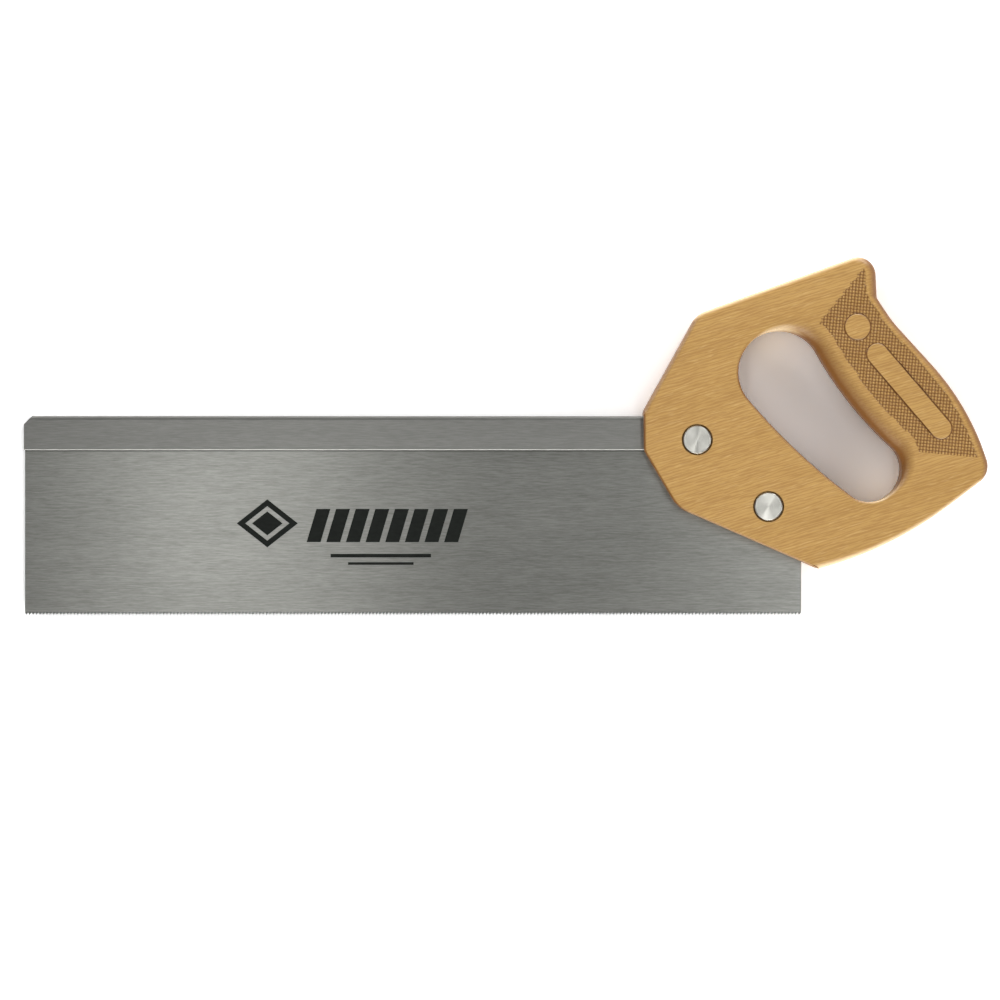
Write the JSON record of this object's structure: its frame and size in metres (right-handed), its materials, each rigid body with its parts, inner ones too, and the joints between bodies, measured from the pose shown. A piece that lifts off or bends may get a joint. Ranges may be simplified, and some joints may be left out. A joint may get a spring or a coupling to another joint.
{
  "type": "hand saw",
  "caption": "Mitre back saw: a fine-toothed steel blade stiffened by a folded steel back, bolted into a closed beech handle with a checkered grip.",
  "frame": {"origin": "centre of the footprint of the saw lying flat, on the plane of the handle's right face", "axes": "+X along the blade from the toe to the handle, +Y from the tooth line to the steel back, +Z out of the saw's left face, the one with the plain bolt heads"},
  "size_m": [0.4406, 0.1634, 0.022],
  "materials": {
    "blade_steel": "fine lengthwise brushing, satin",
    "back_steel": "drawn strip, satin, darker than the blade",
    "beech": "clear satin lacquer over pale flecked beech",
    "bolt_steel": "bright, lathe-turned faces"
  },
  "bodies": {
    "saw": {"blade": "blade_steel", "spine": "back_steel", "handle": "beech"},
    "upper_nut": {"upper_nut": "bolt_steel"},
    "upper_bolt": {"upper_bolt": "bolt_steel"},
    "lower_nut": {"lower_nut": "bolt_steel"},
    "lower_bolt": {"lower_bolt": "bolt_steel"}
  },
  "joints": [
    {"name": "upper_nut_turn", "type": "hinge", "parent": "saw", "child": "upper_nut", "pos_m": [0.08762, -0.00154, 0], "axis": [0, 0, -1], "range_deg": [0, 2880]},
    {"name": "upper_bolt_rise", "type": "slide", "parent": "saw", "child": "upper_bolt", "axis": [0, 0, 1], "range_m": [0, 0.0064]},
    {"name": "lower_nut_turn", "type": "hinge", "parent": "saw", "child": "lower_nut", "pos_m": [0.12012, -0.03204, 0], "axis": [0, 0, -1], "range_deg": [0, 2880]},
    {"name": "lower_bolt_rise", "type": "slide", "parent": "saw", "child": "lower_bolt", "axis": [0, 0, 1], "range_m": [0, 0.0064]}
  ],
  "couplings": [
    {"joint": "upper_nut_turn", "follows": "upper_bolt_rise", "rad_per_m": 7853.9},
    {"joint": "lower_nut_turn", "follows": "lower_bolt_rise", "rad_per_m": 7853.9}
  ]
}
